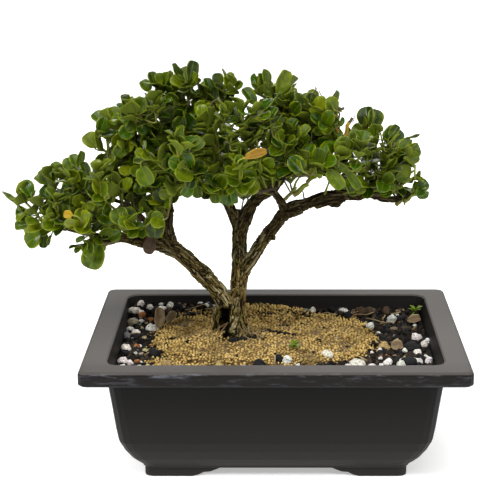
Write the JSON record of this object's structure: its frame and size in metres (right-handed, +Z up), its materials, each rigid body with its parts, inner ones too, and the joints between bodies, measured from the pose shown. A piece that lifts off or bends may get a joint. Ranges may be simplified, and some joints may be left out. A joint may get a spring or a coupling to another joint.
{
  "type": "natal plum bonsai",
  "caption": "Small spreading bonsai tree with rounded leaves and forked trunk, standing in a filled rectangular training pot on low corner feet.",
  "frame": {"origin": "on the surface that the pot stands on, under the middle of the whole object's box; the trunk rises just beside it", "axes": "+X to the viewer's right along the pot's long side, +Y away from the viewer along its short side, +Z up"},
  "size_m": [0.315, 0.194, 0.2767],
  "materials": {
    "plastic": "satin",
    "potting_mix": "matte",
    "clay_granules": "matte",
    "bark": "matte",
    "leaf": "satin",
    "gold_leaf": "satin",
    "orange_leaf": "satin",
    "dry_leaf": "matte"
  },
  "bodies": {
    "root": {"brown_leaf": "dry_leaf", "fallen_leaf_1": "dry_leaf", "fallen_leaf_2": "dry_leaf", "fallen_leaf_3": "dry_leaf", "gold_leaf": "gold_leaf", "orange_leaf": "orange_leaf", "pot": "plastic", "potting_mix": "potting_mix", "root_ball": "clay_granules", "seedling_1": "leaf", "seedling_2": "leaf", "spray_01": "leaf", "spray_02": "leaf", "spray_03": "leaf", "spray_04": "leaf", "spray_05": "leaf", "spray_06": "leaf", "spray_07": "leaf", "spray_08": "leaf", "spray_09": "leaf", "spray_10": "leaf", "spray_11": "leaf", "spray_12": "leaf", "spray_13": "leaf", "spray_14": "leaf", "spray_15": "leaf", "spray_16": "leaf", "spray_17": "leaf", "spray_18": "leaf", "spray_19": "leaf", "spray_20": "leaf", "spray_21": "leaf", "spray_22": "leaf", "spray_23": "leaf", "spray_24": "leaf", "spray_25": "leaf", "spray_26": "leaf", "spray_27": "leaf", "spray_28": "leaf", "spray_29": "leaf", "spray_30": "leaf", "spray_31": "leaf", "spray_32": "leaf", "spray_33": "leaf", "spray_34": "leaf", "spray_35": "leaf", "spray_36": "leaf", "spray_37": "leaf", "spray_38": "leaf", "spray_39": "leaf", "spray_40": "leaf", "spray_41": "leaf", "spray_42": "leaf", "spray_43": "leaf", "spray_44": "leaf", "spray_45": "leaf", "spray_46": "leaf", "spray_47": "leaf", "spray_48": "leaf", "trunk_and_branches": "bark"}
  },
  "joints": []
}
